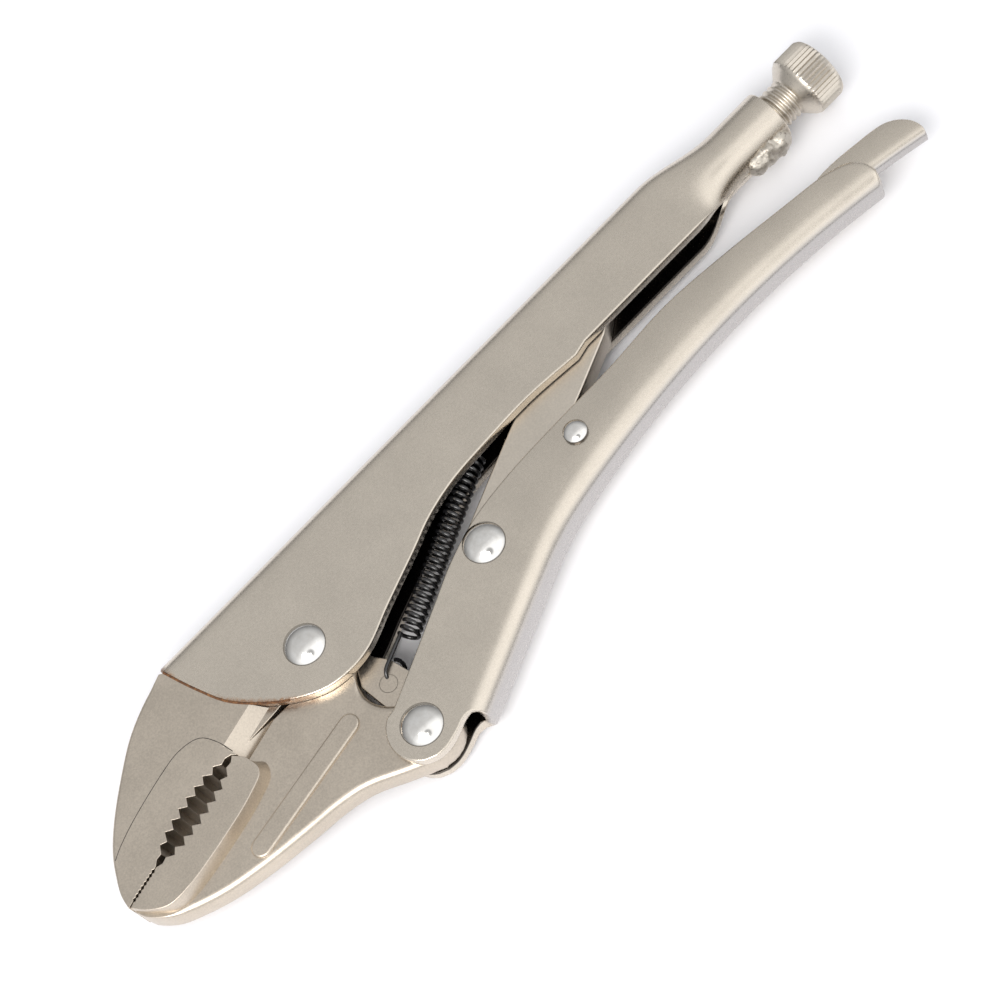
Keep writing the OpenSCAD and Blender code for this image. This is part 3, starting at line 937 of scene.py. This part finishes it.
# ---- moving handle and release lever ----
HANDLE_SPINE = Spine((-6, -53.1), 24.2, [(61.4, None), (math.radians(12) * 75, 75), (115, 255)])
LEVER_IN_HANDLE = 4.9       # how far the lever's spine lies inside the handle's
LEVER_SPINE = Spine(HANDLE_SPINE.point(77, LEVER_IN_HANDLE), 12.2, [(150, 255 + LEVER_IN_HANDLE)])
LEVER_W, LEVER_T, LEVER_BEND_R, LEVER_EDGE = 6.0, 1.4, 2.99, 0.3


def channel_part(name, spine, outline, ends, sheet, b, reach, lean):
    """A channel that follows a spine, cut to the plates' outline between the two ends.

    sheet is its width, thickness and bend radius. lean(s, h) says how far the sheet's outer
    and inner faces move towards the middle plane.
    """
    w, t, r = sheet
    half = [(spine.locate(*ends[0])[0], 0.0)]
    for x, y in outline:
        s, h = spine.locate(x, y)
        half.append((s, along_section(h, w, r)))
    half.append((spine.locate(*ends[1])[0], 0.0))

    def skin(s, v, d):
        h, z = section(v, d, w, r)
        out, back = lean(s, h)
        return (*spine.point(s, h), z - math.copysign(out + (back - out) * d / t, z))

    stops = section_stops(w, r, reach, 1.5)
    first, last = min(s for s, _ in half), max(s for s, _ in half)
    grid = [(s, v) for s in spread(first, last, 2.0) for v in stops]
    return channel(name, half, skin, t, b, grid, along_section(r, w, r))


def lower_handle():
    outline = [(16.7, -42.7), (15.9, -41.2)]
    outline += spline([(14.7, -40.2), (12.6, -39.9), (9.4, -41), (5.6, -41.9), (2.6, -41.7)])
    outline += arc(HANDLE_PIVOT, 8.25, 234, 120, 14)
    outline += spline([(3.2, -26.6), (11.7, -22.6), (18.8, -19.2), (26.7, -15.4), (35.1, -11.4),
                       (45.9, -7.8), (59.4, -5.8), (75.7, -4.9), (91.2, -4.6), (109.6, -3.6),
                       (126.6, -5.2), (144.8, -7.8), (155.5, -9.4), (160.8, -11.2), (163.3, -14.2),
                       (163.9, -17.6), (163.4, -19.6)])
    ends = ((16.8, -42.9), (162.6, -20.9))
    tail = HANDLE_SPINE.locate(163.9, -17.6)[0]

    def half_round(s, h):
        """Behind the link the section turns rounder, and its sides lean in."""
        oval = smoothstep((s - 45) / 60) * rounder(h, HALF_W, BEND_R, 9.5)
        pinch = smoothstep((s - 55) / 60) * 2.3 * max(0, h / 14) ** 1.6
        return oval + pinch, 0

    def edge(s, v):
        """The sheet's edge is rounder at the tail."""
        return SHEET_EDGE + 0.75 * smoothstep((s - tail + 12) / 8)

    obj = channel_part("lower_handle", HANDLE_SPINE, outline, ends,
                       (CHANNEL_W, SHEET_T, BEND_R), edge, 42, half_round)
    dress(obj, SHEET, "plated_sheet", "moving_handle", "lower_handle")


def release_lever():
    ends = ((73.4, -15), (178.5, -19.2))

    def tail_lean(s, h):
        """At the tail the section turns rounder, and both faces of its sides lean in."""
        tail = smoothstep((s - 72) / 14)
        shift = 1.35 * tail * min(1, max(0, h / 9) ** 1.8)
        return shift + tail * rounder(h, LEVER_W / 2, LEVER_BEND_R, 6.5), shift

    outline = arc(LEVER_PIVOT, 3.3, 250, 95, 10)
    outline += spline([(80.4, -7.2), (92, -6.8), (120, -8.6), (145, -8.8), (157.6, -7.4),
                       (167.4, -8.2), (173.6, -9.2), (176.6, -11), (178.4, -13.6),
                       (179.1, -16.2), (179.0, -18.0)])
    obj = channel_part("release_lever", LEVER_SPINE, outline, ends,
                       (LEVER_W, LEVER_T, LEVER_BEND_R), LEVER_EDGE, 20, tail_lean)
    dress(obj, SHEET, "plated_sheet", "lever", "release_lever")


LINK_TIP = (105.0, 13.4)                # the centre of the end that meets the screw
LINK_R, LINK_TIP_R, LINK_TAPER = 6.3, 3.6, 12
LINK_HALF = 3.1


def toggle_link():
    run = math.dist(LINK_TIP, TOGGLE_PIVOT)
    loop = arc((0, 0), LINK_R, 90, 270, 24) + [(run - LINK_TAPER, -LINK_R)]
    loop += arc((run, 0), LINK_TIP_R, -60, 60, 12) + [(run - LINK_TAPER, LINK_R)]
    loop = swung(loop, TOGGLE_PIVOT, angle_of(TOGGLE_PIVOT, LINK_TIP))
    obj = slab("toggle_link", [loop], LINK_HALF, 0.5)
    dress(obj, LINK_STEEL, "forged_steel", "toggle", "toggle_link")


# ---- adjusting screw ----
SCREW_AXIS = (0, SCREW_Y, 0)
THREAD_STEP = 0.15                      # between the rows of points that shape the thread
NECK_X = KNOB_X0 - KNOB_NECK            # where the thread ends and the flare starts


def adjusting_screw():
    thread_x = SCREW_TIP_X + TIP_TAPER
    count = round((NECK_X - thread_x) / THREAD_STEP)
    profile = [(SCREW_TIP_X, 0.6), (SCREW_TIP_X, 3.2)]
    profile += [(thread_x + k * THREAD_STEP, THREAD_R) for k in range(count + 1)]
    last = profile[-1][0]
    profile += [(NECK_X + 0.5, THREAD_R - 0.5)]

    def thread(x, r, a):
        if r < THREAD_R or x >= last:
            return r
        wave = math.cos(2 * math.pi * (x / THREAD_PITCH - a / (2 * math.pi)))
        return THREAD_R - THREAD_DEPTH * (0.5 - 0.5 * wave) ** 1.3

    shaft = lathe("adjusting_screw", profile, SCREW_AXIS, "x", 64, thread, 60)
    dress(shaft, SCREW_STEEL, "screw_steel", "screw", "adjusting_screw")
    knurled_knob()


def knurled_knob():
    """A flared neck, a band of knurls and a dished end."""
    def knurl(x, r, a):
        if r < KNOB_R - 0.01:
            return r
        phase = (a * KNURLS / (2 * math.pi)) % 1
        return r - KNURL_DEPTH * abs(2 * phase - 1) ** 0.9

    flare = (NECK_X + 0.25, THREAD_R + 0.35)
    band = (KNOB_X0 + 0.7, KNOB_R)
    profile = [(NECK_X, 0.5), (NECK_X, THREAD_R), flare]
    profile += between(flare, (KNOB_X0 - 0.15, KNOB_R - 0.5), 6)
    profile += [(KNOB_X0 + 0.35, KNOB_R - 0.25), band]
    profile += between(band, (KNOB_X1 - 1.1, KNOB_R), 8)
    profile += [(KNOB_X1 - 0.35, KNOB_R - 0.45), (KNOB_X1, KNOB_R - 1.0), (KNOB_X1, KNOB_R - 1.6),
                (KNOB_X1 - 0.35, KNOB_R - 2.2), (KNOB_X1 - 0.35, 0.5)]
    knob = lathe("knurled_knob", profile, SCREW_AXIS, "x", KNURLS * 8, knurl, 35)
    dress(knob, SCREW_STEEL, "screw_steel", "screw")


WELD_X0, WELD_X1, WELD_R = 150.2, 157.4, 3.1
WELD_SUNK = 0.9                         # how far the bead's axis lies inside the collar
# each noise's scale along and around the bead, and its share of the bead's radius
WELD_LUMPS = ((0.45, 1.1, 0.24), (1.6, 3.4, 0.09))


def collar_weld():
    """A lumpy bead that closes the collar's seam."""
    profile = arc((WELD_X0, 0), WELD_R, 175, 95, 8)
    profile += between((WELD_X0, WELD_R), (WELD_X1, WELD_R), 24)[:-1]
    profile += arc((WELD_X1, 0), WELD_R, 90, 10, 8)

    def lumpy(x, r, a):
        grow = 1
        for along, around, share in WELD_LUMPS:
            at = Vector((x * along, math.cos(a) * around, math.sin(a) * around))
            grow += share * noise.noise(at)
        return r * grow

    at = (0, SCREW_Y - COLLAR_R + WELD_SUNK, 0)
    obj = lathe("collar_weld", profile, at, "x", 48, lumpy, 60)
    dress(obj, WELD, "weld_bead", "fixed_handle", "collar_weld")


# ---- spring ----
COIL_R, WIRE_R, COIL_TURNS, COIL_PITCH = 2.2, 0.48, 27, 1.65
COIL_START = 10.8                       # from the front hook's point, along the spring
COIL_STEPS = 20                         # points on each turn
EYE_R = 2.6
HOOK_FRONT, HOOK_REAR = (7.4, -18.7), (63.3, 9.2)
SPRING_ROLL = math.radians(-35)         # of both eyes, about the spring's own axis


def tension_spring():
    """A wire with a nearly closed eye, a coil and a rear hook, as one path.

    It is laid out along x from the front hook, rolled, and then swung into place.
    """
    far = math.dist(HOOK_REAR, HOOK_FRONT)
    coil_end = COIL_START + COIL_TURNS * COIL_PITCH
    hook_x = far - COIL_R
    path = [(x, 0, z) for x, z in arc((EYE_R, 0), EYE_R, 30, -270, 20)]
    path += between((EYE_R, 0, EYE_R), (COIL_START, 0, COIL_R), 4)[:-1]
    for k in range(COIL_TURNS * COIL_STEPS + 1):
        a = 2 * math.pi * k / COIL_STEPS
        x = COIL_START + COIL_PITCH * k / COIL_STEPS
        path.append((x, COIL_R * math.sin(a), COIL_R * math.cos(a)))
    path += [(coil_end + (hook_x - coil_end) * t, 0, COIL_R) for t in (0.3, 0.65)]
    path += [(x, 0, z) for x, z in arc((hook_x, 0), COIL_R, 90, -120, 14)]

    rolled = swung([(y, z) for _, y, z in path], (0, 0), SPRING_ROLL)
    flat = swung([(x, y) for (x, _, _), (y, _) in zip(path, rolled)], HOOK_FRONT,
                 angle_of(HOOK_FRONT, HOOK_REAR))
    points = [(x, y, z) for (x, y), (_, z) in zip(flat, rolled)]
    obj = tube("tension_spring", points, WIRE_R, 10)
    obj.data.materials.append(OXIDE)
    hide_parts("tension_spring")
    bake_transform(obj)


# ---- rivets ----
RIVET_STEPS = 16
RIM_SHADE_START = 0.97            # the share of a head's radius where its painted rim shade starts


def rivet(name, at, r, h, body):
    """A pin with a domed head on each side, each a cap of a ball."""
    ball = (r * r + h * h) / (2 * h)
    turn = math.asin(r / ball) / RIVET_STEPS
    cap = [(h - ball + ball * math.cos(turn * k), ball * math.sin(turn * k))
           for k in range(RIVET_STEPS, 0, -1)]
    cap += [(h - 0.002, 0.05)]
    side = [(HALF_W - 0.3, r)] + [(HALF_W + along, q) for along, q in cap]
    profile = [(-along, q) for along, q in reversed(side)] + side
    obj = lathe(name, profile, (*at, 0), "z", 96, smooth=50, rim_r=r * RIM_SHADE_START)
    dress(obj, CHROME, "rivet_chrome", body, name)


# ---- room, in metres ----
FLOOR_SIZE, FLOOR_CELLS = 3.0, 24
FLOOR_Z = -0.0002                       # just under the pliers
FLOOR_TONE = (0.93, 0.935, 0.97)
KEY_AT, KEY_SIZE, KEY_WATTS = Vector((-0.45, -0.40, 0.75)), (0.55, 0.4), 5.0
KEY_TONE = (1.0, 0.97, 0.93)
DARK_PATCH_TOWARD = (-0.10, -0.46, 0.88)    # what the flat steel mirrors to the camera
SKY_STRENGTH = 1.36


def floor():
    bm = bmesh.new()
    at = [(k / FLOOR_CELLS - 0.5) * FLOOR_SIZE for k in range(FLOOR_CELLS + 1)]
    rows = [[bm.verts.new((x, y, 0.0)) for x in at] for y in at]
    for a, b in zip(rows, rows[1:]):
        for i in range(FLOOR_CELLS):
            bm.faces.new((a[i], a[i + 1], b[i + 1], b[i]))
    obj = finish_mesh("floor", bm)
    obj.location.z = FLOOR_Z
    obj.data.materials.append(new_material("floor", FLOOR_TONE, 0.6, 0.0)[0])


def key_light():
    data = bpy.data.lights.new("key", "AREA")
    data.shape = "RECTANGLE"
    data.size, data.size_y = KEY_SIZE
    data.energy = KEY_WATTS
    data.color = KEY_TONE
    obj = bpy.data.objects.new("key", data)
    bpy.context.scene.collection.objects.link(obj)
    obj.location = KEY_AT
    obj.rotation_euler = (-KEY_AT).to_track_quat("-Z", "Y").to_euler()


def studio():
    """A pale sky, dimmer at the horizon and to one side, with a dark patch overhead."""
    world = bpy.data.worlds.new("studio")
    bpy.context.scene.world = world
    world.use_nodes = True
    tree = world.node_tree
    coord = node(tree, "ShaderNodeTexCoord")
    split = node(tree, "ShaderNodeSeparateXYZ")
    tree.links.new(coord.outputs["Generated"], split.inputs[0])
    sky = ramp(tree, split.outputs["Z"], [(0.0, grey(0.30)), (0.32, grey(0.80)),
                                          (0.55, grey(1.05)), (1.0, grey(1.0))])
    toward = node(tree, "ShaderNodeVectorMath", operation="DOT_PRODUCT")
    toward.inputs[1].default_value = DARK_PATCH_TOWARD
    tree.links.new(coord.outputs["Generated"], toward.inputs[0])
    shade = ramp(tree, toward.outputs["Value"], [(0.958, grey(1.0)), (0.984, grey(0.38))])
    across = math_node(tree, "ADD", math_node(tree, "MULTIPLY", split.outputs["Y"], 0.5), 0.5)
    side = ramp(tree, across, [(0.1, grey(1.0)), (0.38, grey(0.95)),
                               (0.56, grey(0.56)), (0.9, grey(0.44))])
    glow = mix(tree, 1.0, sky, side, "MULTIPLY")
    background = tree.nodes["Background"]
    tree.links.new(mix(tree, 1.0, glow, shade, "MULTIPLY"), background.inputs["Color"])
    background.inputs["Strength"].default_value = SKY_STRENGTH
    bpy.context.scene.view_settings.view_transform = "Standard"


# in the script's millimetres, but for the lens
CAMERA_AT, CAMERA_AIM = (-6.01, -287.24, 534.07), (53.15, -6.25, 0)
CAMERA_ROLL = -35.01        # degrees from level
LENS, SENSOR = 98.28, 36.0


def camera():
    at, aim = place(*CAMERA_AT), place(*CAMERA_AIM)
    data = bpy.data.cameras.new("camera")
    data.sensor_width = SENSOR
    data.lens = LENS
    data.clip_start, data.clip_end = 0.01, 20.0
    obj = bpy.data.objects.new("camera", data)
    bpy.context.scene.collection.objects.link(obj)
    obj.location = at
    obj.rotation_mode = "QUATERNION"
    level = (aim - at).to_track_quat("-Z", "Y")
    obj.rotation_quaternion = level @ Quaternion((0, 0, 1), math.radians(CAMERA_ROLL))
    bpy.context.scene.camera = obj


upper_handle()
fixed_jaw()
lower_jaw()
lower_handle()
release_lever()
toggle_link()
adjusting_screw()
collar_weld()
tension_spring()
rivet("jaw_pivot_rivet", JAW_PIVOT, HEAD_R, HEAD_H, "fixed_handle")
rivet("handle_pivot_rivet", HANDLE_PIVOT, HEAD_R, HEAD_H, "moving_handle")
rivet("toggle_rivet", TOGGLE_PIVOT, HEAD_R, HEAD_H, "moving_handle")
rivet("lever_rivet", LEVER_PIVOT, SMALL_HEAD_R, SMALL_HEAD_H, "moving_handle")
floor()
studio()
key_light()
camera()

bpy.context.view_layer.update()
